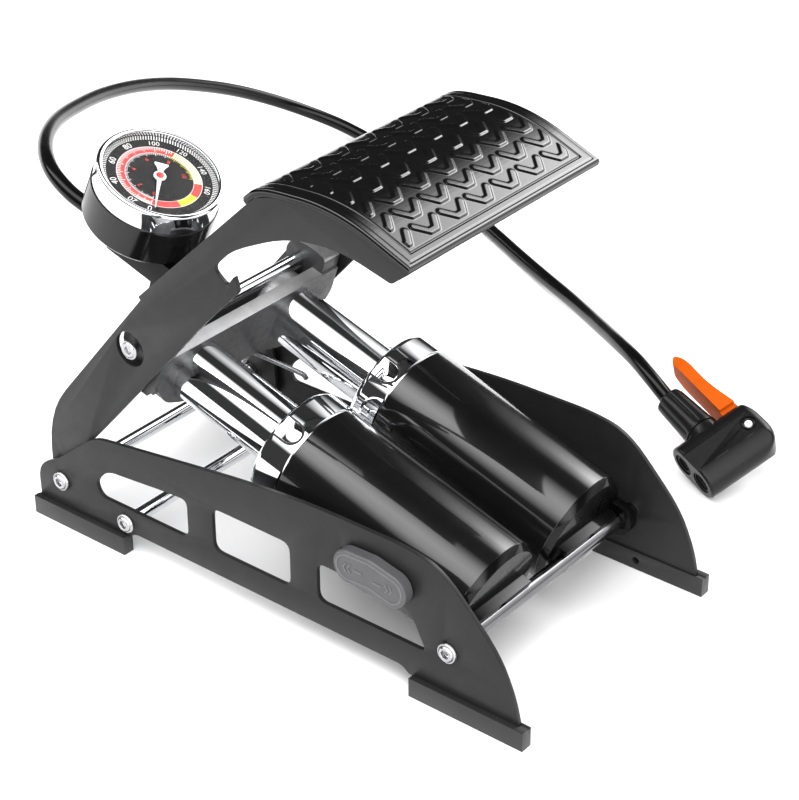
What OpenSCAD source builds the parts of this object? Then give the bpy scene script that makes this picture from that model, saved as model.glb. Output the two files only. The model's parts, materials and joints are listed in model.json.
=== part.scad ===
// Twin-barrel foot air pump: two side plates on four feet carry a sprung pedal frame, which pushes
// two chrome piston tubes into two barrels. A hose runs from the gauge manifold to the valve head.
// Axes: +X to the right side, +Y to the rear (gauge end), +Z up. The floor is z = 0.
// Left is x < 0, the side that carries the lock.

/* [Base] */
// Length from the front of the front feet to the back of the rear feet
base_length = 290; // [280:1:300]
// Width over the outer faces of the feet
base_width = 146; // [144:1:150]
// Thickness of the side plates
plate_thickness = 2.2; // [1.6:0.1:2.4]
// Length of each foot
foot_length = 60; // [40:1:62]
// Width of each foot
foot_width = 6; // [5:0.5:8]
// Height of each foot
foot_height = 9.5; // [9:0.5:9.5]

/* [Pedal] */
// Thickness of the two pedal arms
arm_thickness = 2.2; // [1.6:0.1:2.2]
// Thickness of the pressed pedal plate
pedal_plate_thickness = 1.5; // [1:0.1:2]
// Thickness of the rubber tread
tread_thickness = 2.2; // [1.5:0.1:3]

/* [Barrels and pistons] */
// Slope of the barrels above the floor, in degrees
barrel_slope = 17.75; // [17:0.25:18.5]
// Distance between the two barrel axes
barrel_pitch = 67; // [66:0.5:68]
// Outer radius of a barrel
barrel_r = 28.6; // [27:0.1:28.8]
// Wall thickness of a barrel
barrel_wall = 1.5; // [1:0.1:2]
// Outer radius of a piston tube
tube_r = 15; // [13:0.5:16]
// Radius of the front rod, the rear pivot rod and the cross rod
rod_r = 3.5; // [3:0.1:4]
// Radius of the upper rod that the pedal pushes
upper_rod_r = 3; // [2.5:0.1:3]
// Radius of the pedal arms' open holes round the upper rod
arm_hole_r = 8.5; // [8.5:0.1:9]

/* [Gauge] */
// Outer radius of the gauge bezel
gauge_r = 30.5; // [26:0.5:31]
// Height of the gauge cup
cup_height = 20; // [18:0.5:24]
// Height of the gauge bezel
bezel_height = 11; // [10:0.5:12]

/* [Hose and valve head] */
// Outer radius of the air hose
hose_r = 4; // [3.5:0.1:4]
// Thickness of the valve head
head_thickness = 20; // [18:1:22]
// Radius of the larger valve hole, for a car-type valve
wide_valve_r = 4; // [3.9:0.05:4.1]
// Radius of the smaller valve hole, for a slim bicycle valve
slim_valve_r = 3.1; // [3:0.05:3.2]

/* [Hidden] */
$fn = 64;

// The model's origin: the middle of the pump's box on the floor, in the pump's own layout
origin_x = -1.6;
origin_y = 157.9;

// Layout across the pump, measured from the midplane
half_width = base_width / 2;
plate_out = half_width - (foot_width - plate_thickness) / 2 - 1.1;
plate_in = plate_out - plate_thickness;
arm_gap = 2;
arm_out = plate_in - arm_gap;
arm_in = arm_out - arm_thickness;
barrel_x = barrel_pitch / 2;

// Pivot axes, as [y, z] in the layout
front_axis = [41, 30.6];
rear_axis = [272, 23.6];
cross_axis = [230, 17];
upper_axis = [224, 110];

// Stations along the barrel axis, measured from the front rod
cap_start = 5;
barrel_start = 8;
barrel_end = 108;
collar_end = 124;
piston_start = 73;
piston_end = 83;
header_start = 183;
header_end = 200;
manifold_end = 268;
axis_lift = 2.35;
fit_gap = 0.06;

// The upper rod's place in the barrels' frame
upper_rel = upper_axis - front_axis;
upper_s = upper_rel[0] * cos(barrel_slope) + upper_rel[1] * sin(barrel_slope);
upper_t = upper_rel[1] * cos(barrel_slope) - upper_rel[0] * sin(barrel_slope);

// The gauge in the barrels' frame: its centre along the axis, and the height of its underside
gauge_s = 255.5;
gauge_t = 26;
gauge_tilt = 6;
pointer_rest = 50;
cup_r = gauge_r + 0.5;

// The valve head rests on the floor on one corner, rolled over by the set of the hose
head_at = [164.5, 42.3, 10.7];
head_turn = [14, -21, -23];
mouth_u = -25;
head_length = 45;
head_width = 32;
lever_pivot = [10.7, 0];
valve_row = [-7, 7];
valve_depth = 14;

// Outlines as [y, z, corner rounding]
side_plate_points = [
  [4, 9, 0], [62, 9, 0], [66, 12, 3], [225, 12.5, 3], [229, 9, 0], [288, 9, 0], [288.5, 27, 10],
  [274, 35, 4], [248, 56.5, 7], [150, 70.5, 35], [112, 73.3, 15], [64, 73.6, 12], [45, 70, 14],
  [15.5, 40, 14], [7, 21.5, 6]
];
rear_window = [[190, 25, 5], [246, 25, 3], [249.5, 32, 5], [240.5, 41, 5], [206, 44.5, 4], [190, 45.5, 4]];
middle_window = [[128.5, 25, 5], [174.5, 25, 5], [174.5, 48, 5], [128.5, 48, 5]];
front_window = [[52.5, 25, 4], [113, 25, 5], [113, 45, 5], [78, 44, 4], [61.5, 42.5, 5], [57, 33, 8]];
arm_points = [
  [283, 12, 10], [282, 57, 20], [215.4, 137.5, 0], [216.4, 139, 0], [156.4, 197.3, 8],
  [143, 210, 12], [104, 212.5, 24], [66.6, 197.5, 0], [74.7, 191, 1.5], [100, 197.5, 12],
  [128, 195, 15], [160, 179, 12], [171, 167.5, 4], [163, 161.5, 2.5], [158.6, 167.5, 1],
  [156.5, 160.5, 2], [172.5, 143.9, 12], [250, 55, 8], [256.5, 48, 2], [254, 14, 8]
];
pedal_line_points = [[66.6, 197.5, 0], [104, 212.5, 24], [143, 210, 12], [150.5, 203, 0]];

// The hose's route, from the manifold to the valve head
hose_points = [
  [0, 314.5, 128.1], [0.5, 327, 131.6], [4.5, 341.5, 135], [13, 356, 136], [28, 374, 134], [48, 393, 130],
  [75, 414, 123], [109, 435, 113.5], [147, 455, 102.5], [188, 472, 89.5], [228, 485, 75], [265, 492, 60],
  [299, 494, 45], [327, 489, 31], [347, 477, 19.5], [358, 458, 11.5], [360, 435, 6.5], [356, 411, 4.4],
  [348, 389, 4.1], [330, 346, 4.05], [304.5, 294, 4.1], [288, 262, 4.4], [272, 232, 5.8], [255, 203.5, 9.2],
  [236, 178, 15], [216.5, 154.5, 22], [198.5, 133, 28.5], [184.5, 114.5, 32.2], [174.4, 98.2, 31.4],
  [167.9, 83.1, 27.2], [162.4, 65.9, 23]
];
spring_coil_x = 40;
spring_wire_r = 1.2;
spring_coil_r = 6;

function unit(v) = v / norm(v);
function lerp(a, b, u) = a + (b - a) * u;
function flat(p) = [p[0], p[1]];

// A corner is replaced by a short curve that starts and ends its rounding length away from the corner,
// or just under half of a shorter side
function reach(p, other) = min(p[2], 0.48 * norm(flat(other) - flat(p)));
function corner(before, p, after, steps = 5) =
  p[2] == 0 ? [flat(p)] :
  let (
    c = flat(p),
    a = c + unit(flat(before) - c) * reach(p, before),
    b = c + unit(flat(after) - c) * reach(p, after)
  )
  [for (i = [0:steps]) lerp(lerp(a, c, i / steps), lerp(c, b, i / steps), i / steps)];

function rounded(p) = [
  for (i = [0:len(p) - 1])
    each corner(p[(i + len(p) - 1) % len(p)], p[i], p[(i + 1) % len(p)])
];

// Points at a set distance to the left of an open line
function beside(line, gap) = [
  for (i = [0:len(line) - 1])
    let (d = unit(line[min(i + 1, len(line) - 1)] - line[max(i - 1, 0)]))
    line[i] + gap * [-d[1], d[0]]
];

// A closed ribbon between two distances from an open line
function ribbon(line, low, high) =
  let (a = beside(line, low), b = beside(line, high), n = len(line))
  concat(a, [for (i = [n - 1:-1:0]) b[i]]);

// A smooth curve through a list of points
function through(p, i, u) =
  let (
    a = p[max(i - 1, 0)],
    b = p[i],
    c = p[i + 1],
    d = p[min(i + 2, len(p) - 1)]
  )
  0.5 * (2 * b + (c - a) * u + (2 * a - 5 * b + 4 * c - d) * u * u + (3 * b - a - 3 * c + d) * u * u * u);

function smooth_line(p, steps) = concat(
  [for (i = [0:len(p) - 2]) for (k = [0:steps - 1]) through(p, i, k / steps)],
  [p[len(p) - 1]]
);

// One ring of a swept tube: across lies in the plane of the ring, as near square to guide as it can
function ring(at, along, guide, r, sides) =
  let (across = unit(cross(along, guide)), up = cross(across, along))
  [for (k = [0:sides - 1]) at + r * (across * cos(360 * k / sides) + up * sin(360 * k / sides))];

module sweep(line, r, sides, guide) {
  n = len(line);
  rings = [
    for (i = [0:n - 1])
      each ring(line[i], unit(line[min(i + 1, n - 1)] - line[max(i - 1, 0)]), guide, r, sides)
  ];
  walls = [
    for (i = [0:n - 2]) for (k = [0:sides - 1])
      let (a = i * sides + k, b = i * sides + (k + 1) % sides)
      [a, a + sides, b + sides, b]
  ];
  first = [for (k = [0:sides - 1]) k];
  last = [for (k = [sides - 1:-1:0]) (n - 1) * sides + k];
  polyhedron(points = rings, faces = concat(walls, [first, last]), convexity = 8);
}

// From the pump's layout to the model's origin
module place() { translate([-origin_x, -origin_y, 0]) children(); }

// A sheet cut to a [y, z] outline, between two stations across the pump
module sheet(x_low, x_high) {
  translate([x_low, 0, 0]) rotate([90, 0, 90]) linear_extrude(x_high - x_low) children();
}

// A round bar along X, between two stations across the pump
module bar(axis, r, x_low, x_high) {
  translate([x_low, axis[0], axis[1]]) rotate([0, 90, 0]) cylinder(r = r, h = x_high - x_low);
}

// The barrels' frame: local y runs along the barrels from the front rod, local z stands square to them
module barrel_frame() {
  place() translate([0, front_axis[0], front_axis[1]]) rotate([barrel_slope, 0, 0]) children();
}

// A round solid along a barrel's axis, between two stations
module round_along(x, r, s_low, s_high) {
  translate([x, s_low, axis_lift]) rotate([-90, 0, 0]) cylinder(r = r, h = s_high - s_low);
}

module pipe_along(x, r, bore_r, s_low, s_high) {
  difference() {
    round_along(x, r, s_low, s_high);
    round_along(x, bore_r, s_low - 1, s_high + 1);
  }
}

// A pan head screw that points along +X, with its six-sided socket
module screw_head(x, axis, r, height) {
  translate([x, axis[0], axis[1]]) rotate([0, -90, 0]) difference() {
    union() {
      cylinder(r = r, h = height * 0.6);
      translate([0, 0, height * 0.6]) cylinder(r = r - 0.8, h = height * 0.4);
    }
    translate([0, 0, height * 0.4]) cylinder(r = r * 0.45, h = height, $fn = 6);
  }
}

// ---- Base ----

module side_plate(side) {
  low = side < 0 ? -plate_out : plate_in;
  color("dimgray") place() difference() {
    sheet(low, low + plate_thickness) difference() {
      polygon(rounded(side_plate_points));
      polygon(rounded(rear_window));
      polygon(rounded(middle_window));
      polygon(rounded(front_window));
    }
    for (axis = [front_axis, rear_axis, cross_axis])
      bar(axis, rod_r, low - 1, low + plate_thickness + 1);
    if (side < 0) {
      sheet(low - 1, low + plate_thickness + 1) {
        translate([87.5, 54.2]) square([9.5, 5.6]);
        translate([87.5, 57]) circle(r = 2.8);
        translate([97, 57]) circle(r = 2.8);
      }
    }
  }
}
module left_side_plate() { side_plate(-1); }
module right_side_plate() { side_plate(1); }

module foot(side, y_low) {
  low = side < 0 ? -half_width : half_width - foot_width;
  color("black") place() difference() {
    translate([low, y_low, 0]) cube([foot_width, foot_length, foot_height]);
    bar([y_low + foot_length * 0.6, foot_height / 2], 1.8, side < 0 ? low + 3 : low - 1, side < 0 ? low + 7 : low + 3);
    translate([side < 0 ? -plate_out : plate_in, y_low - 1, foot_height - 0.5])
      cube([plate_thickness, foot_length + 2, 1]);
  }
}
module front_left_foot() { foot(-1, 0); }
module front_right_foot() { foot(1, 0); }
module rear_left_foot() { foot(-1, base_length - foot_length); }
module rear_right_foot() { foot(1, base_length - foot_length); }

module front_rod() { color("silver") place() bar(front_axis, rod_r, -plate_out, plate_out); }
module rear_pivot_rod() { color("silver") place() bar(rear_axis, rod_r, -plate_out, plate_out); }
module base_cross_rod() { color("silver") place() bar(cross_axis, rod_r, -plate_out, plate_out); }

module frame_screws() {
  color("gainsboro") place() for (axis = [front_axis, rear_axis, cross_axis]) {
    screw_head(-plate_out, axis, 5, 2.8);
    mirror([1, 0, 0]) screw_head(-plate_out, axis, 5, 2.8);
  }
}

// Thin washers that keep the arms off the side plates, and the sleeves that keep them apart
module pivot_washers() {
  color("silver") place() for (side = [-1, 1]) {
    difference() {
      bar(rear_axis, 6, side < 0 ? -plate_in : arm_out + 0.15, side < 0 ? -arm_out - 0.15 : plate_in);
      bar(rear_axis, rod_r, -half_width, half_width);
    }
    difference() {
      bar(rear_axis, 5.5, side < 0 ? -arm_in + 0.15 : arm_in - 3.15, side < 0 ? -arm_in + 3.15 : arm_in - 0.15);
      bar(rear_axis, rod_r, -half_width, half_width);
    }
  }
}

// A torsion spring on the rear pivot rod. Its tail sits on the cross rod, and its long leg lifts the header from
// below and ends in a hook
module return_spring() {
  steps = 14;
  lead = 2.9;
  start_angle = 219;
  end_angle = 1540;
  count = round((end_angle - start_angle) / 360 * steps);
  coil = [
    for (i = [0:count])
      let (angle = start_angle + (end_angle - start_angle) * i / count)
      [
        spring_coil_x + lead * (angle - start_angle) / 360,
        rear_axis[0] + spring_coil_r * cos(angle),
        rear_axis[1] + spring_coil_r * sin(angle)
      ]
  ];
  leg = [
    [20.5, 195.8, 66], [19.4, 196.8, 68.4], [17.6, 200, 70.1], [12.2, 217.8, 75], [11.2, 221.2, 75.6],
    [11.4, 223.6, 74.6], [12.6, 225.8, 72.2]
  ];
  tail = [coil[count][0] + 1, 226, cross_axis[1] + rod_r + spring_wire_r + 0.05];
  color("silver") place() sweep(concat(leg, coil, [tail]), spring_wire_r, 8, [1, 0.02, 0.01]);
}

// ---- Lock ----

module lock_knob() {
  color("gray") place() difference() {
    sheet(-plate_out - 6.2, -plate_out - 0.3) hull() {
      translate([90.5, 55.4]) circle(r = 8.2, $fn = 48);
      translate([79, 55.8]) circle(r = 8.2, $fn = 48);
      translate([67.5, 53.2]) circle(r = 8.2, $fn = 48);
    }
    bar([88.6, 57], 2, -plate_out - 4, -plate_out);
  }
}

module lock_pin() {
  color("silver") place() {
    bar([88.6, 57], 2, -plate_out - 4, -arm_in + 0.2);
    bar([88.6, 57], 4.5, -plate_in + 0.2, -plate_in + 1.4);
  }
}

// ---- Pedal frame ----

module arm(side) {
  low = side < 0 ? -arm_out : arm_in;
  color("dimgray") place() difference() {
    sheet(low, low + arm_thickness) polygon(rounded(arm_points));
    bar(rear_axis, rod_r + fit_gap, low - 1, low + arm_thickness + 1);
    bar(upper_axis, arm_hole_r, low - 1, low + arm_thickness + 1);
  }
}
module left_arm() { arm(-1); }
module right_arm() { arm(1); }

module pedal_plate() {
  line = rounded(pedal_line_points);
  color("black") place() sheet(-arm_out, arm_out)
    polygon(ribbon(line, 0, pedal_plate_thickness));
}

module tread_pad() {
  line = rounded(pedal_line_points);
  color("black") place() sheet(-arm_out, arm_out)
    polygon(ribbon(line, pedal_plate_thickness, pedal_plate_thickness + tread_thickness));
}

// ---- Barrels ----

module barrel(x) {
  color("black") barrel_frame() pipe_along(x, barrel_r, barrel_r - barrel_wall, barrel_start, barrel_end);
}
module left_barrel() { barrel(-barrel_x); }
module right_barrel() { barrel(barrel_x); }

// The end cap: a disc with a bevelled rim, a plug inside the barrel, a saddle behind the front rod and an eye round it
module end_cap(side) {
  x = side * barrel_x;
  eye_x = side * (barrel_x + barrel_r - 3);
  color("black") barrel_frame() difference() {
    union() {
      translate([x, barrel_start, axis_lift]) rotate([90, 0, 0])
        cylinder(r1 = barrel_r, r2 = barrel_r - 2.4, h = barrel_start - cap_start);
      round_along(x, barrel_r - barrel_wall, barrel_start, barrel_start + 6);
      translate([x - 20, 0, -6]) cube([40, cap_start, 12]);
      translate([eye_x - 2.5, 0, 0]) rotate([0, 90, 0]) cylinder(r = 7.5, h = 5);
      translate([eye_x - 2.5, 0, -7.5]) cube([5, barrel_start, 15]);
    }
    translate([-half_width, 0, 0]) rotate([0, 90, 0]) cylinder(r = rod_r + fit_gap, h = base_width);
    round_along(x, 3, cap_start - 6, barrel_start + 7);
  }
}
module left_end_cap() { end_cap(-1); }
module right_end_cap() { end_cap(1); }

module inlet_valves() {
  color("darkred") barrel_frame() for (side = [-1, 1])
    round_along(side * barrel_x, 6, barrel_start + 6, barrel_start + 7);
}

// The collar caps the barrel's upper end, and two sprung tabs on it show as raised tongues
module collar(x) {
  color("silver") barrel_frame() difference() {
    union() {
      round_along(x, barrel_r + 0.2, barrel_end, collar_end - 2);
      translate([x, collar_end - 2, axis_lift]) rotate([-90, 0, 0])
        cylinder(r1 = barrel_r + 0.2, r2 = barrel_r - 1.6, h = 2);
      for (turn = [-36, 144])
        translate([x, 0, axis_lift]) rotate([0, turn, 0])
          translate([-5.5, barrel_end + 1, barrel_r - 3]) cube([11, 11, 4]);
    }
    round_along(x, barrel_r - 1.6, barrel_end - 1, collar_end - 3);
    round_along(x, tube_r + 1.2, barrel_end - 1, collar_end + 1);
  }
}
module left_collar() { collar(-barrel_x); }
module right_collar() { collar(barrel_x); }

module guide_bush(x) {
  color("black") barrel_frame() {
    pipe_along(x, barrel_r - barrel_wall, tube_r + fit_gap, barrel_end - 8, barrel_end);
    pipe_along(x, barrel_r - 1.6, tube_r + fit_gap, barrel_end, collar_end - 3);
  }
}
module left_guide_bush() { guide_bush(-barrel_x); }
module right_guide_bush() { guide_bush(barrel_x); }

// ---- Pistons ----

module piston_tube(x) {
  color("silver") barrel_frame() pipe_along(x, tube_r, tube_r - 1.5, piston_end - 4, header_end - 4);
}
module left_piston_tube() { piston_tube(-barrel_x); }
module right_piston_tube() { piston_tube(barrel_x); }

module piston(x) {
  color("darkgray") barrel_frame() difference() {
    round_along(x, barrel_r - barrel_wall - 0.1, piston_start, piston_end);
    pipe_along(x, barrel_r, barrel_r - 4.2, piston_start + 3, piston_start + 6);
    round_along(x, tube_r, piston_end - 4, piston_end + 1);
    round_along(x, 4, piston_start - 1, piston_end);
  }
}
module left_piston() { piston(-barrel_x); }
module right_piston() { piston(barrel_x); }

module piston_seal(x) {
  color("black") barrel_frame()
    pipe_along(x, barrel_r - barrel_wall - 0.05, barrel_r - 4.2, piston_start + 3, piston_start + 6);
}
module left_piston_seal() { piston_seal(-barrel_x); }
module right_piston_seal() { piston_seal(barrel_x); }

module outlet_valves() {
  color("darkred") barrel_frame() for (side = [-1, 1])
    round_along(side * barrel_x, 7, piston_end - 4, piston_end - 3);
}

// The header casting is an open channel across the pump. Its front wall takes the two tubes, the lug at each end
// takes the upper rod, and its rear wall leads air to the manifold
module header() {
  half = 61;
  top = 19.5;
  web_end = header_end - 4;
  under = [
    [half, 5, 2], [52, -9, 5], [33, -18, 9], [12, -10, 6], [-12, -10, 6], [-33, -18, 9], [-52, -9, 5], [-half, 5, 2]
  ];
  color("darkgray") barrel_frame() difference() {
    union() {
      for (wall = [[header_start, header_start + 7.2, top], [web_end, header_end, 16]])
        translate([0, wall[1], 0]) rotate([90, 0, 0]) linear_extrude(wall[1] - wall[0])
          polygon(rounded(concat(under, [[-half, wall[2], 0], [half, wall[2], 0]])));
      translate([-half + 1, header_start + 5, -4]) cube([2 * half - 2, 10, 12]);
      translate([-18, header_start + 5, -8]) cube([36, header_end - header_start - 2, 18]);
      for (side = [-1, 1]) {
        round_along(side * barrel_x, tube_r + 2, header_start, header_end + 2);
        sheet(side * 55.5 - 5.5, side * 55.5 + 5.5) polygon(rounded([
          [header_start + 1, 0, 0], [header_start + 1, 28.5, 3], [196, 29.5, 6], [206, 26, 3], [208, 19, 4], [202, 8, 4],
          [199, 0, 0]
        ]));
      }
    }
    for (side = [-1, 1]) {
      round_along(side * barrel_x, tube_r, header_start - 1, web_end);
      round_along(side * barrel_x, 5, header_start, header_end);
    }
    translate([-half - 1, upper_s, upper_t]) rotate([0, 90, 0]) cylinder(r = upper_rod_r, h = 2 * half + 2);
    translate([-barrel_x, web_end, axis_lift]) rotate([0, 90, 0]) cylinder(r = 2.5, h = barrel_pitch);
    translate([0, web_end, axis_lift]) rotate([-90, 0, 0]) cylinder(r = 2.5, h = 12);
  }
}

module upper_rod() {
  color("silver") place() bar(upper_axis, upper_rod_r, -arm_out - 0.3, arm_out + 0.3);
}

module rod_end_screws() {
  color("gainsboro") place() {
    screw_head(-arm_out - 0.3, upper_axis, 4.8, 1.3);
    mirror([1, 0, 0]) screw_head(-arm_out - 0.3, upper_axis, 4.8, 1.3);
  }
}

// The manifold reaches back from the header under the gauge, and the hose leaves its rear end
module manifold() {
  start = header_end + 3;
  color("black") barrel_frame() difference() {
    union() {
      translate([-12, start, -4]) cube([24, 33, 16]);
      translate([0, 0, 7]) linear_extrude(14) polygon(rounded([
        [-12, start + 18, 0], [12, start + 18, 0], [12, manifold_end, 4], [-12, manifold_end, 4]
      ]));
      translate([0, start + 35, 9.5]) rotate([-90, 0, 0]) cylinder(r = 8.5, h = manifold_end - start - 35);
      gauge_lean() translate([0, 0, -8]) cylinder(r = 11, h = 8);
    }
    translate([0, start - 1, axis_lift]) rotate([-90, 0, 0]) cylinder(r = 2.5, h = 30);
    translate([0, start + 27, axis_lift]) cylinder(r = 2.5, h = 12);
    translate([0, start + 27, 12]) rotate([-90, 0, 0]) cylinder(r = 2.5, h = 16);
    translate([0, start + 41, 9.5]) rotate([-90, 0, 0]) cylinder(r = 3, h = 30);
    translate([0, manifold_end - 5, 9.5]) rotate([-90, 0, 0]) cylinder(r = 5.5, h = 10);
    gauge_lean() translate([0, 0, -14]) cylinder(r = 5, h = 20);
  }
}

module manifold_screws() {
  color("silver") barrel_frame() for (x = [-7, 7], s = [209, 216])
    translate([x, s, 12]) cylinder(r = 2.6, h = 1.4);
}

// ---- Gauge ----

// The gauge leans a little further to the front than the barrels do
module gauge_lean() { translate([0, gauge_s, gauge_t]) rotate([gauge_tilt, 0, 0]) children(); }
module gauge_frame() { barrel_frame() gauge_lean() children(); }

module gauge_stem() {
  color("goldenrod") gauge_frame() difference() {
    translate([0, 0, -14]) cylinder(r = 5, h = 18);
    translate([0, 0, -15]) cylinder(r = 1.5, h = 15);
  }
}

module gauge_cup() {
  color("black") gauge_frame() difference() {
    cylinder(r = cup_r, h = cup_height);
    translate([0, 0, 2]) cylinder(r = cup_r - 2.2, h = cup_height);
    translate([0, 0, -1]) cylinder(r = 5, h = 5);
  }
}

module gauge_bezel() {
  color("silver") gauge_frame() translate([0, 0, cup_height]) difference() {
    union() {
      cylinder(r = gauge_r, h = bezel_height - 1.5);
      translate([0, 0, bezel_height - 1.5]) cylinder(r1 = gauge_r, r2 = gauge_r - 1.2, h = 1.5);
    }
    translate([0, 0, -1]) cylinder(r = gauge_r - 2, h = bezel_height + 0.2);
    cylinder(r = gauge_r - 2.8, h = bezel_height + 1);
  }
}

module gauge_lens() {
  color("lightcyan", 0.4) gauge_frame() translate([0, 0, cup_height + bezel_height - 2])
    cylinder(r = gauge_r - 2.1, h = 1.15);
}

module gauge_dial() {
  color("dimgray") gauge_frame() translate([0, 0, cup_height + bezel_height - 4.4]) difference() {
    cylinder(r = gauge_r - 2.1, h = 0.8);
    translate([0, 0, -1]) cylinder(r = 1.2, h = 3);
  }
}

// The pointer rests on the dial's zero, between the front and the left of the pump
module gauge_needle() {
  color("white") gauge_frame() translate([0, 0, cup_height + bezel_height - 3.2]) rotate([0, 0, -pointer_rest]) {
    cylinder(r = 3, h = 1);
    linear_extrude(0.5) polygon([[-1.3, 0], [-0.4, -22], [0.4, -22], [1.3, 0], [3.4, 9], [-3.4, 9]]);
    translate([0, 0, -10]) cylinder(r = 1, h = 10);
  }
}

// The curved tube that straightens with pressure and turns the pointer
module bourdon_tube() {
  color("goldenrod") gauge_frame() {
    translate([0, 0, 12]) rotate([0, 0, -60]) rotate_extrude(angle = 260) translate([19, 0]) circle(r = 2.2);
    difference() {
      union() {
        translate([0, 0, 4]) cylinder(r = 8, h = 4);
        translate([0, 0, 8]) cylinder(r = 3, h = 15);
      }
      translate([0, 0, 16]) cylinder(r = 1.1, h = 8);
    }
    translate([4, -18, 5]) cube([6, 14, 4]);
    translate([8, -20, 5]) cube([5, 6, 9]);
  }
}

// ---- Hose and valve head ----

module strain_relief() {
  color("black") barrel_frame() translate([0, manifold_end, 9.5]) rotate([-90, 0, 0]) difference() {
    union() {
      cylinder(r = 8.5, h = 5, $fn = 6);
      translate([0, 0, 5]) cylinder(r1 = 7, r2 = 5, h = 17);
      translate([0, 0, -5]) cylinder(r = 5.5, h = 5);
    }
    translate([0, 0, -9]) cylinder(r = 2.5, h = 45);
  }
}

module air_hose() {
  color("black") place() sweep(smooth_line(hose_points, 2), hose_r, 12, [0.02, 0.01, 1]);
}

module head_frame() {
  place() translate(head_at) rotate(head_turn) children();
}

module valve_head() {
  wide = head_width / 2;
  soft = head_thickness / 2;
  color("black") head_frame() difference() {
    union() {
      intersection() {
        linear_extrude(head_thickness) polygon(rounded([
          [mouth_u, -wide, 1], [mouth_u + head_length, -wide, 13], [mouth_u + head_length, wide, 13], [mouth_u, wide, 1]
        ]));
        hull() for (side = [-1, 1]) translate([mouth_u - 1, side * (wide - soft), soft])
          rotate([0, 90, 0]) cylinder(r = soft, h = head_length + 2);
      }
      translate([-6, wide - soft, soft]) rotate([-90, 0, 0]) cylinder(r = 9, h = soft + 0.6);
    }
    for (row = [[valve_row[0], wide_valve_r], [valve_row[1], slim_valve_r]]) translate([mouth_u, row[0], soft])
      rotate([0, 90, 0]) {
        translate([0, 0, -1]) cylinder(r = row[1], h = valve_depth + 1);
        translate([0, 0, 4]) cylinder(r = 5.4, h = 4);
        translate([0, 0, valve_depth - 1]) cylinder(r = 1.2, h = 6);
      }
    translate([-6, -2, soft]) rotate([-90, 0, 0]) cylinder(r = 2.5, h = 30);
    translate([3.8, -wide + 5, soft - 5.4]) cube([head_length, head_width, 10.8]);
    translate([lever_pivot[0], lever_pivot[1], -1]) cylinder(r = 2, h = head_thickness + 2);
  }
}

// The ribbed sleeve where the hose enters the valve head
module head_collar() {
  color("black") head_frame() translate([-6, head_width / 2 + 0.6, head_thickness / 2]) rotate([-90, 0, 0])
    difference() {
      union() {
        cylinder(r1 = 9.4, r2 = 8, h = 26);
        for (turn = [0:60:300])
          rotate([0, 0, turn]) translate([7.2, -0.8, 0]) cube([1.6, 1.6, 24]);
      }
      translate([0, 0, 6]) cylinder(r = hose_r, h = 30);
      translate([0, 0, -1]) cylinder(r = 2, h = 9);
    }
}

module lever_pin() {
  color("white") head_frame() translate([lever_pivot[0], lever_pivot[1], 0.4])
    cylinder(r = 2, h = head_thickness - 0.4);
}

// The clamping lever: a cam round the pin, a waist and a broad thumb tip
module thumb_lever() {
  color("darkorange") head_frame() translate([lever_pivot[0], lever_pivot[1], head_thickness / 2 - 5])
    difference() {
      union() {
        cylinder(r = 6.4, h = 10);
        linear_extrude(10) polygon([[-5.5, 0], [6.2, 0], [4.4, 18], [-4.6, 18]]);
        translate([0, 0, -2]) intersection() {
          linear_extrude(14) polygon(rounded([
            [-4.6, 17, 0], [4.4, 17, 0], [1.4, 36, 18], [2.8, 56, 5], [0.6, 61.5, 2], [-3.8, 57, 3], [-4.4, 38, 14]
          ]));
          rotate([90, 0, 90]) translate([0, 0, -10]) linear_extrude(20) polygon([
            [16, 0], [48, 0], [62, 4], [62, 10], [48, 14], [16, 14]
          ]);
        }
      }
      translate([0, 0, -1]) cylinder(r = 2 + fit_gap, h = 12);
    }
}

module valve_seals() {
  color("maroon") head_frame() for (row = [[valve_row[0], wide_valve_r], [valve_row[1], slim_valve_r]])
    translate([mouth_u + 4, row[0], head_thickness / 2]) rotate([0, 90, 0]) difference() {
      cylinder(r = 5.4, h = 4);
      translate([0, 0, -1]) cylinder(r = row[1], h = 6);
    }
}

// The little peg that opens the tyre valve's pin
module valve_plunger() {
  color("goldenrod") head_frame() for (y = valve_row)
    translate([mouth_u + valve_depth, y, head_thickness / 2]) rotate([0, 90, 0])
      cylinder(r = 1.2, h = 5);
}

left_side_plate();
right_side_plate();
front_left_foot();
front_right_foot();
rear_left_foot();
rear_right_foot();
front_rod();
rear_pivot_rod();
base_cross_rod();
frame_screws();
pivot_washers();
return_spring();
lock_knob();
lock_pin();
left_arm();
right_arm();
pedal_plate();
tread_pad();
left_barrel();
right_barrel();
left_end_cap();
right_end_cap();
left_collar();
right_collar();
left_guide_bush();
right_guide_bush();
inlet_valves();
left_piston_tube();
right_piston_tube();
left_piston();
right_piston();
left_piston_seal();
right_piston_seal();
outlet_valves();
header();
upper_rod();
rod_end_screws();
manifold();
manifold_screws();
gauge_stem();
gauge_cup();
gauge_bezel();
gauge_lens();
gauge_dial();
gauge_needle();
bourdon_tube();
strain_relief();
air_hose();
valve_head();
head_collar();
thumb_lever();
lever_pin();
valve_seals();
valve_plunger();
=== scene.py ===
import json
import math
import bmesh
import bpy
import numpy as np
from mathutils import Euler, Matrix, Vector


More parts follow.
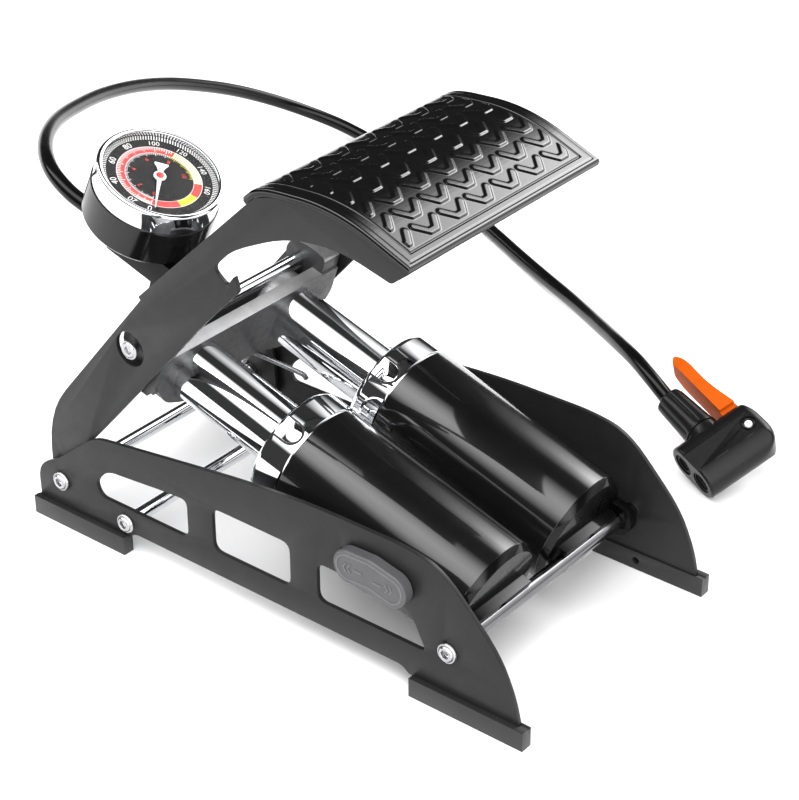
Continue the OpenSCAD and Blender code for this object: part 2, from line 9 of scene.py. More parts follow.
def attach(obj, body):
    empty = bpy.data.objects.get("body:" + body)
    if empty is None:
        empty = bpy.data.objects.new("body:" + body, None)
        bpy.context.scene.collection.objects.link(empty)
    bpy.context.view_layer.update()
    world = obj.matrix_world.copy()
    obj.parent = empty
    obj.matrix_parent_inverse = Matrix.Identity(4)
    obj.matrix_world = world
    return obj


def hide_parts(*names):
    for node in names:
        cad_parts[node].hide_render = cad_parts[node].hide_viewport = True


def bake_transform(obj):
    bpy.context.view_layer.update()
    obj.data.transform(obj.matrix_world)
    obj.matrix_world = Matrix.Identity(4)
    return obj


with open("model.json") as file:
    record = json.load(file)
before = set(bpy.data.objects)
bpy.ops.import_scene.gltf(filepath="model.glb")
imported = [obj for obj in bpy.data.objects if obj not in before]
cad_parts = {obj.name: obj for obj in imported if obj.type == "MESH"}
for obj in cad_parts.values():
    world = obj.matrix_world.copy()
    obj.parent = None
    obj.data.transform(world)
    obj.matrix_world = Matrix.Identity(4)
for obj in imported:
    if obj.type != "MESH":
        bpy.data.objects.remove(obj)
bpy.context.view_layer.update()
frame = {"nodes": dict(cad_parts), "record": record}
NODES = frame["nodes"]
SLOT_OF = {s["node"]: s["material_slot"] for s in frame["record"]["subparts"]}
BODY_OF = {n: b for b, ns in frame["record"]["behaviour"]["bodies"].items() for n in ns}
scene = bpy.context.scene
MM = 0.001
SLOPE = math.radians(17.75)  # the barrels' rise toward the rear
BARREL_X = 33.5  # each barrel's distance from the middle plane
LIFT = 2.35  # the barrels' axes above the front rod's
FRONT_ROD = (41, 30.6)  # the rods' centres as (y, z)
REAR_ROD = (272, 23.6)
CROSS_ROD = (230, 17)
UPPER_ROD = (224, 110)
ROD_R = 3.5
HOSE_R = 4


# ---- Places ----

def L(x, y, z):
    """A point of the pump's layout, in millimetres, as a row-frame point in metres."""
    return Vector(((x + 1.6) * MM, (y - 157.9) * MM, z * MM))


def shift(x, y, z):
    """A move in millimetres."""
    return Matrix.Translation(Vector((x, y, z)) * MM)


def turned_about(axis, degrees):
    return Matrix.Rotation(math.radians(degrees), 4, axis)


LAYOUT = Matrix.Translation(L(0, 0, 0))
BARREL = Matrix.Translation(L(0, *FRONT_ROD)) @ Matrix.Rotation(SLOPE, 4, "X")
GAUGE = BARREL @ shift(0, 255.5, 26) @ turned_about("X", 6)
HEAD = Matrix.Translation(L(164.5, 42.3, 10.7)) @ Euler([math.radians(a) for a in (14, -21, -23)]).to_matrix().to_4x4()


def up_of(matrix):
    """The direction of a frame's own z."""
    return (matrix.to_3x3() @ Vector((0, 0, 1))).normalized()


def along_barrel(x):
    """A frame whose z runs rearward along a barrel's axis, from the front rod."""
    return BARREL @ shift(x, 0, LIFT) @ Matrix.Rotation(-math.pi / 2, 4, "X")


# ---- Mesh helpers ----

def linked(name, verts=(), faces=()):
    """A new mesh object, in metres."""
    mesh = bpy.data.meshes.new(name)
    mesh.from_pydata([tuple(v) for v in verts], [], faces)
    obj = bpy.data.objects.new(name, mesh)
    scene.collection.objects.link(obj)
    return obj


def new_piece(name, verts, faces, material, body, slot, nodes=(), matrix=None, sharp=30, scale=MM):
    """A piece in its own mesh, riding its body, or with no body where none is given."""
    obj = linked(name, [Vector(v) * scale for v in verts], faces)
    if matrix is not None:
        obj.data.transform(matrix)
    finish_mesh(obj, material, sharp)
    if body:
        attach(obj, body)
    if nodes:
        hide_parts(*nodes)
    return obj


def finish_mesh(obj, material, sharp=30):
    """Faces turned outward and smooth, edges over the sharp angle kept crisp."""
    mesh = obj.data
    bm = bmesh.new()
    bm.from_mesh(mesh)
    bmesh.ops.recalc_face_normals(bm, faces=bm.faces)
    limit = math.radians(sharp)
    for f in bm.faces:
        f.smooth = True
    for e in bm.edges:
        e.smooth = len(e.link_faces) == 2 and e.calc_face_angle(0) < limit
    bm.to_mesh(mesh)
    bm.free()
    mesh.materials.clear()
    for m in (material if isinstance(material, (list, tuple)) else [material]):
        mesh.materials.append(m)


def refined(node, material, bevel=0.4, angle=28, segments=2, sharp=35, name=None):
    """A piece made from a CAD node's own mesh, welded, with its flats merged and its edges rounded."""
    bm = bmesh.new()
    bm.from_mesh(NODES[node].data)
    bmesh.ops.remove_doubles(bm, verts=bm.verts, dist=2e-6)
    bmesh.ops.dissolve_limit(bm, angle_limit=math.radians(0.6), verts=bm.verts, edges=bm.edges)
    bmesh.ops.recalc_face_normals(bm, faces=bm.faces)
    edges = [e for e in bm.edges if len(e.link_faces) == 2 and e.calc_face_angle(0) > math.radians(angle)]
    bmesh.ops.bevel(bm, geom=edges, offset=bevel * MM, offset_type="OFFSET", segments=segments, profile=0.6,
                    affect="EDGES", clamp_overlap=True)
    obj = linked(name or node + "_skin")
    bm.to_mesh(obj.data)
    bm.free()
    finish_mesh(obj, material, sharp)
    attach(obj, BODY_OF[node])
    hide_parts(node)
    return obj


def fillet(before, corner, after, steps):
    """Points round a corner given as (x, y, reach), where the reach stays under half of each side."""
    c = Vector(corner[:2])
    a = Vector(before[:2]) - c
    b = Vector(after[:2]) - c
    start = c + a.normalized() * min(corner[2], a.length * 0.48)
    end = c + b.normalized() * min(corner[2], b.length * 0.48)
    return [start.lerp(c, k / steps).lerp(c.lerp(end, k / steps), k / steps) for k in range(steps + 1)]


def rounded(profile, steps=4):
    """A line of (x, y) or (x, y, reach) points with its fillets worked in."""
    out = []
    for i, p in enumerate(profile):
        if len(p) < 3 or not p[2] or i in (0, len(profile) - 1):
            out.append(Vector(p[:2]))
        else:
            out += fillet(profile[i - 1], p, profile[i + 1], steps)
    return out


def rounded_loop(points, steps):
    """A closed line of (x, y, reach) points with its fillets worked in."""
    n = len(points)
    return [q for i in range(n) for q in fillet(points[i - 1], points[i], points[(i + 1) % n], steps)]


def circle(r, z, count):
    """Points on a level circle about the z axis."""
    return [(r * math.cos(2 * math.pi * k / count), r * math.sin(2 * math.pi * k / count), z) for k in range(count)]


def lathe_data(profile, segments=96, closed=False):
    """A turned solid from a profile of (r, z) points, which is a loop where closed."""
    verts = []
    faces = []
    rings = []
    for r, z in profile:
        if r < 1e-6:
            rings.append([len(verts)])
            verts.append((0, 0, z))
        else:
            rings.append(list(range(len(verts), len(verts) + segments)))
            verts += circle(r, z, segments)
    pairs = list(zip(rings[:-1], rings[1:]))
    if closed:
        pairs.append((rings[-1], rings[0]))
    for a, b in pairs:
        for k in range(segments):
            j = (k + 1) % segments
            if len(a) == 1 and len(b) == 1:
                continue
            if len(a) == 1:
                faces.append((a[0], b[j], b[k]))
            elif len(b) == 1:
                faces.append((a[k], a[j], b[0]))
            else:
                faces.append((a[k], a[j], b[j], b[k]))
    return verts, faces


def lathe(name, profile, matrix, material, body, slot, nodes=(), segments=96, closed=False, sharp=30):
    verts, faces = lathe_data(rounded(profile), segments, closed)
    return new_piece(name, verts, faces, material, body, slot, nodes, matrix, sharp)


def tube_rings(points, radius, sides, up=(0, 0, 1)):
    """Rings round a line of points, each square to the line."""
    pts = [Vector(p) for p in points]
    rings = []
    guide = None
    for i, p in enumerate(pts):
        d = (pts[min(i + 1, len(pts) - 1)] - pts[max(i - 1, 0)]).normalized()
        if guide is None:
            guide = d.cross(Vector(up)).normalized()
        guide = (guide - d * guide.dot(d)).normalized()
        other = d.cross(guide)
        rings.append([p + radius * (guide * c + other * s) for c, s, _ in circle(1, 0, sides)])
    return rings


def tube_mesh(rings, cap_start=True, cap_end=True):
    """A skin over rings of equal length, with or without a flat cap on each end."""
    verts = [v for ring in rings for v in ring]
    sides = len(rings[0])
    faces = []
    for i in range(len(rings) - 1):
        for k in range(sides):
            j = (k + 1) % sides
            faces.append((i * sides + k, i * sides + j, (i + 1) * sides + j, (i + 1) * sides + k))
    if cap_start:
        faces.append(tuple(reversed(range(sides))))
    if cap_end:
        faces.append(tuple(range((len(rings) - 1) * sides, len(rings) * sides)))
    return verts, faces


def smooth_line(points, steps):
    """The same smooth curve through the route's points as the CAD source has."""
    p = [Vector(q) for q in points]
    out = []
    for i in range(len(p) - 1):
        a, b, c, d = p[max(i - 1, 0)], p[i], p[i + 1], p[min(i + 2, len(p) - 1)]
        for k in range(steps):
            u = k / steps
            out.append(0.5 * (2 * b + (c - a) * u + (2 * a - 5 * b + 4 * c - d) * u * u
                              + (3 * b - a - 3 * c + d) * u ** 3))
    out.append(p[-1])
    return out


# ---- Materials ----

def node_tree(name):
    """A new material, its node tree and its shader."""
    m = bpy.data.materials.new(name)
    m.use_nodes = True
    t = m.node_tree
    t.nodes.clear()
    out = t.nodes.new("ShaderNodeOutputMaterial")
    bsdf = t.nodes.new("ShaderNodeBsdfPrincipled")
    t.links.new(bsdf.outputs[0], out.inputs[0])
    return m, t, bsdf


def noise(t, scale, detail=3.0, rough=0.55):
    coords = t.nodes.new("ShaderNodeTexCoord")
    n = t.nodes.new("ShaderNodeTexNoise")
    n.inputs["Scale"].default_value = scale
    n.inputs["Detail"].default_value = detail
    n.inputs["Roughness"].default_value = rough
    t.links.new(coords.outputs["Object"], n.inputs["Vector"])
    return n.outputs["Fac"]


def spread(t, value, low, high, lo_in=0.3, hi_in=0.7):
    """A value mapped from its own range, a noise's by default, to low and high."""
    r = t.nodes.new("ShaderNodeMapRange")
    r.inputs["From Min"].default_value = lo_in
    r.inputs["From Max"].default_value = hi_in
    r.inputs["To Min"].default_value = low
    r.inputs["To Max"].default_value = high
    t.links.new(value, r.inputs["Value"])
    return r.outputs["Result"]


def tint(t, value, dark, light):
    """A noise as a blend of two colours."""
    ramp = t.nodes.new("ShaderNodeValToRGB")
    ramp.color_ramp.elements[0].position = 0.3
    ramp.color_ramp.elements[1].position = 0.7
    ramp.color_ramp.elements[0].color = (*dark, 1)
    ramp.color_ramp.elements[1].color = (*light, 1)
    t.links.new(value, ramp.inputs["Fac"])
    return ramp.outputs["Color"]


def bump(t, bsdf, value, strength, distance):
    b = t.nodes.new("ShaderNodeBump")
    b.inputs["Strength"].default_value = strength
    b.inputs["Distance"].default_value = distance
    t.links.new(value, b.inputs["Height"])
    t.links.new(b.outputs[0], bsdf.inputs["Normal"])


def finish(name, colour, rough, metallic=0.0, vary=0.12, rough_vary=0.05, scale=60, grain=1400, grain_strength=0.15,
           grain_distance=0.00005, coat=0.0, coat_rough=0.05, specular=0.5):
    """A material whose colour and roughness vary in broad patches, with a fine grain in relief."""
    m, t, bsdf = node_tree(name)
    dark = [c * (1 - vary) for c in colour]
    light = [min(1, c * (1 + vary)) for c in colour]
    t.links.new(tint(t, noise(t, scale, 4, 0.6), dark, light), bsdf.inputs["Base Color"])
    bsdf.inputs["Metallic"].default_value = metallic
    bsdf.inputs["Specular IOR Level"].default_value = specular
    t.links.new(spread(t, noise(t, scale * 3.1, 3, 0.5), max(0.01, rough - rough_vary), rough + rough_vary),
                bsdf.inputs["Roughness"])
    bump(t, bsdf, noise(t, grain, 2, 0.5), grain_strength, grain_distance)
    if coat:
        bsdf.inputs["Coat Weight"].default_value = coat
        bsdf.inputs["Coat Roughness"].default_value = coat_rough
    return m


MAT = {
    "plate": finish("black_powder_coat", (0.012, 0.012, 0.0124), 0.42, scale=45, grain=2600, grain_distance=0.00004,
                    specular=0.28),
    "foot": finish("black_foot_coat", (0.016, 0.016, 0.0165), 0.34, scale=55, grain=2400, grain_strength=0.2,
                   specular=0.4),
    "chrome": finish("polished_chrome", (0.80, 0.81, 0.83), 0.045, 1.0, vary=0.03, rough_vary=0.02, scale=35,
                     grain=900, grain_strength=0.015, grain_distance=0.00002),
    "zinc": finish("zinc_plate", (0.46, 0.46, 0.47), 0.22, 1.0, vary=0.08, rough_vary=0.06, scale=300,
                   grain=3000, grain_strength=0.1),
    "spring": finish("spring_wire", (0.20, 0.20, 0.21), 0.28, 1.0, rough_vary=0.08, scale=260, grain=2600),
    "gloss": finish("gloss_black_enamel", (0.004, 0.004, 0.0042), 0.3, vary=0.1, rough_vary=0.03, scale=30,
                    grain=240, grain_strength=0.03, coat=1.0, coat_rough=0.07, specular=0.1),
    "cap": finish("black_enamel_cap", (0.002, 0.002, 0.0021), 0.3, vary=0.1, grain=900, grain_strength=0.05,
                  coat=0.35, coat_rough=0.06, specular=0.05),
    # painted shade: the header's alloy in two copies, a lighter one for faces turned up and a darker one for all its
    # other faces
    "alloy": finish("header_alloy_lit_top", (0.34, 0.34, 0.345), 0.42, 0.8, vary=0.10, rough_vary=0.06, scale=130,
                    grain=900, grain_strength=0.3, grain_distance=0.0001),
    "alloy_painted_shade": finish("header_alloy_painted_shade", (0.055, 0.055, 0.057), 0.4, 0.5, vary=0.15, rough_vary=0.08, scale=130,
                   grain=900, grain_strength=0.4, grain_distance=0.00012),
    # painted reflection: chrome darkened to show the dark space under the barrels that the front rod reflects
    "rod": finish("chrome_rod_painted_dark_reflection", (0.16, 0.16, 0.165), 0.16, 1.0, vary=0.1, rough_vary=0.04, scale=80,
                  grain=1500, grain_strength=0.05),
    "piston": finish("turned_alloy", (0.55, 0.55, 0.57), 0.3, 1.0, vary=0.08, scale=200, grain=1800),
    "plastic": finish("black_moulded_plastic", (0.004, 0.004, 0.0042), 0.3, rough_vary=0.04, scale=120,
                      grain=2200, grain_strength=0.08, specular=0.14),
    "cup": finish("gloss_black_cup", (0.004, 0.004, 0.0042), 0.15, vary=0.1, rough_vary=0.03, grain=500,
                  grain_strength=0.02, specular=0.4),
    "head": finish("charcoal_head_plastic", (0.006, 0.006, 0.0063), 0.3, rough_vary=0.03, scale=150,
                   grain=2400, grain_strength=0.06, grain_distance=0.00003, specular=0.2),
    "hose": finish("hose_rubber", (0.0025, 0.0025, 0.0026), 0.2, rough_vary=0.02, scale=500,
                   grain=2600, grain_strength=0.04, grain_distance=0.00003, specular=0.2),
    "rubber": finish("soft_black_rubber", (0.006, 0.006, 0.006), 0.4, vary=0.15, rough_vary=0.06, scale=160,
                     grain=2200, grain_strength=0.2, specular=0.2),
    "tread": finish("tread_rubber", (0.003, 0.003, 0.0031), 0.16, vary=0.16, rough_vary=0.02, scale=160,
                    grain=2600, grain_strength=0.05, grain_distance=0.00003, specular=0.6),
    "seal": finish("seal_rubber", (0.09, 0.03, 0.03), 0.6, vary=0.1, scale=300),
    "brass": finish("turned_brass", (0.72, 0.52, 0.22), 0.25, 1.0, vary=0.08, scale=240, grain=2000),
    "orange": finish("orange_lever_plastic", (0.50, 0.080, 0.003), 0.45, vary=0.04, rough_vary=0.04, scale=90,
                     grain=1800, grain_strength=0.05, specular=0.06),
    "knob": finish("grey_knob_plastic", (0.07, 0.07, 0.073), 0.38, vary=0.1, scale=120, grain=2200,
                   grain_strength=0.25),
    "white": finish("white_enamel", (0.82, 0.82, 0.81), 0.35, vary=0.03, scale=300, grain=1500, grain_strength=0.05),
    "red": finish("red_print", (0.75, 0.028, 0.025), 0.4, vary=0.05, scale=300, grain=1500, grain_strength=0.05),
    "yellow": finish("yellow_print", (0.86, 0.80, 0.02), 0.4, vary=0.05, scale=300, grain=1500, grain_strength=0.05),
    "print_grey": finish("dial_grey", (0.012, 0.012, 0.0125), 0.5, vary=0.1, scale=400, grain=1800,
                         grain_strength=0.06, specular=0.2),
    "knob_mark": finish("knob_mark_grey", (0.11, 0.11, 0.115), 0.4, vary=0.08, scale=200, grain=1800,
                        grain_strength=0.1),
    # painted shade: a flat dark for the slit round each collar tongue
    "dark": finish("painted_slit_shade", (0.006, 0.006, 0.006), 0.6, vary=0.2, scale=200),
}


def glass_material():
    m, t, bsdf = node_tree("clear_lens_plastic")
    bsdf.inputs["Base Color"].default_value = (1, 1, 1, 1)
    bsdf.inputs["Transmission Weight"].default_value = 1.0
    bsdf.inputs["IOR"].default_value = 1.04
    t.links.new(spread(t, noise(t, 70), 0.005, 0.02), bsdf.inputs["Roughness"])
    return m


MAT["lens"] = glass_material()


# ---- Camera, floor and light ----

def camera():
    data = bpy.data.cameras.new("camera")
    data.lens = 98.73
    data.sensor_width = 36
    data.clip_end = 50
    obj = bpy.data.objects.new("camera", data)
    obj.location = (-0.6570, -0.5589, 0.5882)
    obj.rotation_euler = (math.radians(59.4), 0, math.radians(-51.5))
    scene.collection.objects.link(obj)
    scene.camera = obj


# Brightness round the barrels' axis, in degrees from +X: a long soft box up on the left, and one low on the right
LEFT_BOX = [(-180, 0.008), (88, 0.006), (95, 0.28), (106, 0.75), (118, 1.0), (134, 0.8), (146, 0.26), (151, 0.008),
            (180, 0.008)]
RIGHT_BOX = [(-180, 0), (5, 0.0), (22, 0.5), (38, 1.0), (50, 0.6), (61, 0.0), (180, 0)]
LEFT_POWER = 6.0
RIGHT_POWER = 14.0

# The right box's brightness against the direction along the barrels, from forward-down (-1) to rearward-up (1)
RIGHT_REACH = [(-0.5, 0.1), (-0.1, 0.3), (0.1, 0.9), (0.2, 1.0), (0.26, 0.8), (0.31, 0.32), (0.357, 0.16), (0.42, 0.06),
               (0.5, 0.0)]


def graded(t, value, stops):
    """Brightness against a value from -1 to 1."""
    ramp = t.nodes.new("ShaderNodeValToRGB")
    t.links.new(spread(t, value, 0, 1, -1, 1), ramp.inputs["Fac"])
    elements = ramp.color_ramp.elements
    while len(elements) < len(stops):
        elements.new(0.5)
    for e, (at, v) in zip(elements, stops):
        e.position = (at + 1) / 2
        e.color = (v, v, v, 1)
    return ramp.outputs["Color"]


def box_light(t, turn, stops, strength, reach=None):
    """A soft box of the world light: stops in degrees, dimmed by reach where given."""
    glow = graded(t, turn, [(a / 180, v) for a, v in stops])
    if reach:
        both = t.nodes.new("ShaderNodeVectorMath")
        both.operation = "MULTIPLY"
        t.links.new(glow, both.inputs[0])
        t.links.new(reach, both.inputs[1])
        glow = both.outputs[0]
    back = t.nodes.new("ShaderNodeBackground")
    t.links.new(glow, back.inputs["Color"])
    back.inputs["Strength"].default_value = strength
    return back.outputs[0]


def studio_floor():
    size = 8
    floor = linked("studio_floor", [(-size, -size, 0), (size, -size, 0), (size, size, 0), (-size, size, 0)],
                   [(0, 1, 2, 3)])
    m, t, bsdf = node_tree("pale_floor")
    t.links.new(tint(t, noise(t, 2.0), (0.90, 0.90, 0.905), (0.925, 0.925, 0.93)), bsdf.inputs["Base Color"])
    bsdf.inputs["Roughness"].default_value = 0.75
    bsdf.inputs["Specular IOR Level"].default_value = 0.2
    floor.data.materials.append(m)
    floor.location.z = -0.0002  # just under the feet, so that no two faces share a plane


def world_light():
    world = bpy.data.worlds.new("studio")
    scene.world = world
    world.use_nodes = True
    t = world.node_tree
    t.nodes.clear()
    out = t.nodes.new("ShaderNodeOutputWorld")
    both = t.nodes.new("ShaderNodeAddShader")
    t.links.new(both.outputs[0], out.inputs[0])
    coords = t.nodes.new("ShaderNodeTexCoord")
    parts = []
    for direction in ((1, 0, 0), (0, -math.sin(SLOPE), math.cos(SLOPE)), (0, math.cos(SLOPE), math.sin(SLOPE))):
        dot = t.nodes.new("ShaderNodeVectorMath")
        dot.operation = "DOT_PRODUCT"
        dot.inputs[1].default_value = direction
        t.links.new(coords.outputs["Generated"], dot.inputs[0])
        parts.append(dot.outputs["Value"])
    angle = t.nodes.new("ShaderNodeMath")
    angle.operation = "ARCTAN2"
    t.links.new(parts[1], angle.inputs[0])
    t.links.new(parts[0], angle.inputs[1])
    turn = spread(t, angle.outputs[0], -1, 1, -math.pi, math.pi)
    t.links.new(box_light(t, turn, LEFT_BOX, LEFT_POWER), both.inputs[0])
    t.links.new(box_light(t, turn, RIGHT_BOX, RIGHT_POWER, graded(t, parts[2], RIGHT_REACH)), both.inputs[1])
    scene.view_settings.view_transform = "Standard"
    scene.view_settings.look = "None"


# ---- Hose ----

# The route's points in the layout, from the strain relief to the valve head's collar
HOSE = [
    (0, 314.5, 128.1), (0.5, 327, 131.6), (4.5, 341.5, 135), (13, 356, 136), (28, 374, 134), (48, 393, 130),
    (75, 414, 123), (109, 435, 113.5), (147, 455, 102.5), (188, 472, 89.5), (228, 485, 75), (265, 492, 60),
    (299, 494, 45), (327, 489, 31), (347, 477, 19.5), (358, 458, 11.5), (360, 435, 6.5), (356, 411, 4.4),
    (348, 389, 4.1), (330, 346, 4.05), (304.5, 294, 4.1), (288, 262, 4.4), (272, 232, 5.8), (255, 203.5, 9.2),
    (236, 178, 15), (216.5, 154.5, 22), (198.5, 133, 28.5), (184.5, 114.5, 32.2), (174.4, 98.2, 31.4),
    (167.9, 83.1, 27.2), (162.4, 65.9, 23),
]
HOSE_STEPS = 10
SPLIT = 8  # the two lengths of the hose meet at this point of the route


def hose():
    """Two lengths of one hose, meeting at one point of its route, each made with no body."""
    line = [L(*p) for p in smooth_line(HOSE, HOSE_STEPS)]
    rings = tube_rings(line, HOSE_R * MM, 28)
    joint = SPLIT * HOSE_STEPS
    parts = (("air_hose_gauge_end", 0, joint), ("air_hose_floor_end", joint, len(line) - 1))
    made = []
    for name, low, high in parts:
        verts, faces = tube_mesh(rings[low:high + 1], cap_start=low == 0, cap_end=low != 0)
        obj = new_piece(name, verts, faces, MAT["hose"], None, "hose_rubber", ["air_hose"], None, 40, 1.0)
        made.append((obj, line[low:high + 1]))
    (upper, upper_line), (lower, lower_line) = made
    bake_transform(upper)
    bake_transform(lower)


# ---- Base ----

def hexagon(r, z, count):
    """A ring of a six-sided socket, r to its corners."""
    ring = []
    for k in range(count):
        a = 2 * math.pi * k / count
        out = r * math.cos(math.pi / 6) / math.cos((a % (math.pi / 3)) - math.pi / 6)
        ring.append((out * math.cos(a), out * math.sin(a), z))
    return ring


def socket_screw(r, height):
    """A button-head screw along +z: a low dome, a groove round its top and a six-sided socket."""
    segments = 48
    socket_r = 0.45 * r
    profile = [(0.5, 0), (0.97, 0), (1, 0.2), (0.99, 0.42), (0.92, 0.62), (0.82, 0.68), (0.77, 0.55), (0.73, 0.68),
               (0.70, 0.88), (0.62, 1), (0.54, 1)]
    rings = [circle(r * out, height * up, segments) for out, up in profile]
    for depth, scale in ((0.99, 1.04), (0.94, 1.0), (0.30, 0.98), (0.24, 0.90)):
        rings.append(hexagon(socket_r * scale, height * depth, segments))
    return tube_mesh(rings)


def joined(parts):
    """One mesh's worth of (verts, faces, matrix) parts, in metres."""
    verts = []
    faces = []
    for v, f, m in parts:
        base = len(verts)
        verts += [m @ (Vector(p) * MM) for p in v]
        faces += [tuple(base + i for i in face) for face in f]
    return verts, faces


def screws(name, node, axes, x, r, height):
    """Screw heads on both sides, at x, on axes given as (y, z), each turned its own way."""
    head = socket_screw(r, height)
    parts = []
    for i, axis in enumerate(axes):
        for side in (-1, 1):
            place = Matrix.Translation(L(side * x, *axis)) @ Matrix.Rotation(side * math.pi / 2, 4, "Y")
            parts.append((*head, place @ Matrix.Rotation(0.4 + 0.7 * i + side, 4, "Z")))
    new_piece(name, *joined(parts), MAT["zinc"], BODY_OF[node], SLOT_OF[node], [node], None, 35, 1.0)


def rod(node, axis, r, half, material="chrome"):
    """A chamfered rod across the pump, on an axis given as (y, z)."""
    profile = [(0, -half), (r - 0.4, -half), (r, -half + 0.4), (r, half - 0.4), (r - 0.4, half), (0, half)]
    place = Matrix.Translation(L(0, *axis)) @ Matrix.Rotation(math.pi / 2, 4, "Y")
    lathe(node + "_bar", profile, place, MAT[material], BODY_OF[node], SLOT_OF[node], [node], 64)


def base():
    for n in ("left_side_plate", "right_side_plate"):
        refined(n, MAT["plate"], 0.3)
    for n in ("front_left_foot", "front_right_foot", "rear_left_foot", "rear_right_foot"):
        refined(n, MAT["foot"], 0.45)
    half = 70
    # the front rod takes the darkened chrome, a painted reflection of the dark space under the barrels
    rod("front_rod", FRONT_ROD, ROD_R, half, "rod")
    rod("rear_pivot_rod", REAR_ROD, ROD_R, half)
    rod("base_cross_rod", CROSS_ROD, ROD_R, half)
    screws("frame_screw_heads", "frame_screws", [FRONT_ROD, REAR_ROD, CROSS_ROD], half, 5, 2.8)
    return_spring()


def return_spring():
    """A torsion spring on the rear pivot rod: its tail sits on the cross rod, its long leg hooks under the header."""
    lead, coil_r, wire_r = 2.9, 6, 1.2
    first, last, steps = 219, 1540, 150  # the coil's turn in degrees
    line = smooth_line([(20.5, 195.8, 66), (19.4, 196.8, 68.4), (17.6, 200, 70.1), (12.2, 217.8, 75),
                        (11.2, 221.2, 75.6), (11.4, 223.6, 74.6), (12.6, 225.8, 72.2)], 6)
    coil = []
    for k in range(steps + 1):
        turn = first + (last - first) * k / steps
        a = math.radians(turn)
        coil.append(Vector((40 + lead * (turn - first) / 360, REAR_ROD[0] + coil_r * math.cos(a),
                            REAR_ROD[1] + coil_r * math.sin(a))))
    line += [line[-1].lerp(coil[0], k / 12) for k in range(1, 12)] + coil
    tail = Vector((coil[-1].x + 1, 226, 21.75))
    line += [coil[-1].lerp(tail, k / 8) for k in range(1, 9)]
    verts, faces = tube_mesh(tube_rings(line, wire_r, 12, (1, 0.02, 0.01)))
    obj = new_piece("return_spring_wire", verts, faces, MAT["spring"], None, "spring_steel", ["return_spring"],
                    LAYOUT, 50)
    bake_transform(obj)


# ---- Lock ----

def prism_faces(n):
    """The faces of a prism whose two outlines of n points follow each other."""
    faces = [tuple(range(n)), tuple(range(2 * n - 1, n - 1, -1))]
    return faces + [(k, (k + 1) % n, n + (k + 1) % n, n + k) for k in range(n)]


def raised_mark(outline, face):
    """A small raised shape on the knob's face, from an outline of (y, z) points."""
    verts = [(x, y, z) for x in (face - 0.35, face + 0.3) for y, z in outline]
    return verts, prism_faces(len(outline)), LAYOUT


def knob_outline(r, n=16):
    """The knob's rounded outline, r from the line through its middle."""
    front, middle, rear = Vector((90.5, 55.4)), Vector((79, 55.8)), Vector((67.5, 53.2))
    pts = []
    for centre, start, side in ((front, -math.pi / 2 + 0.03, r), (rear, math.pi / 2 + 0.22, -r)):
        for k in range(n + 1):
            a = start + math.pi * k / n
            pts.append((centre.x + r * math.cos(a), centre.y + r * math.sin(a)))
        pts.append((middle.x, middle.y + side))
    return pts


def lock():
    refined("lock_knob", MAT["knob"], 1.3, segments=3, angle=50)
    face = -76.2
    ring = [Vector((face, y, z)) for y, z in knob_outline(6.0)]
    ring += [ring[0].copy(), ring[1].copy()]
    parts = [(*tube_mesh(tube_rings(ring, 0.42, 8, (1, 0, 0)), False, False), LAYOUT)]
    for y0, z, turn in ((88.5, 55.4, 1), (70.5, 53.6, -1)):
        for k in range(2):
            y = y0 + turn * k * 2.2
            tip = y + turn * 1.5
            parts.append(raised_mark([(y, z - 2.2), (y + turn * 0.8, z - 2.2), (tip + turn * 0.8, z),
                                      (y + turn * 0.8, z + 2.2), (y, z + 2.2), (tip, z)], face))
        parts.append(raised_mark([(y0 - turn * 6, z - 0.4), (y0 - turn * 1.4, z - 0.4), (y0 - turn * 1.4, z + 0.4),
                                  (y0 - turn * 6, z + 0.4)], face))
    new_piece("lock_knob_marks", *joined(parts), MAT["knob_mark"], "lock_slider", "grey_plastic", (), None, 40, 1.0)
    paint("lock_pin", "zinc")


def paint(node, key):
    """A CAD node keeps its shape and takes a better material."""
    mesh = NODES[node].data
    mesh.materials.clear()
    mesh.materials.append(MAT[key])


# ---- Pedal ----

PEDAL_LINE = [(66.6, 197.5), (104, 212.5, 24), (143, 210, 12), (150.5, 203)]  # the plate's top as (y, z, reach)


def even(line, spacing):
    """The same line with evenly spaced points, and its length."""
    total = [0.0]
    for a, b in zip(line[:-1], line[1:]):
        total.append(total[-1] + (b - a).length)
    n = int(round(total[-1] / spacing))
    out = []
    j = 0
    for i in range(n + 1):
        want = total[-1] * i / n
        while j < len(total) - 2 and total[j + 1] < want:
            j += 1
        t = (want - total[j]) / max(1e-9, total[j + 1] - total[j])
        out.append(line[j].lerp(line[j + 1], t))
    return out, total[-1]


def segment_distance(px, py, ax, ay, bx, by):
    """The distance of points p from the segment a to b."""
    dx, dy = bx - ax, by - ay
    t = np.clip(((px - ax) * dx + (py - ay) * dy) / (dx * dx + dy * dy), 0, 1)
    return np.hypot(px - ax - t * dx, py - ay - t * dy)


def smoothstep(low, high, v):
    t = np.clip((v - low) / (high - low), 0, 1)
    return t * t * (3 - 2 * t)


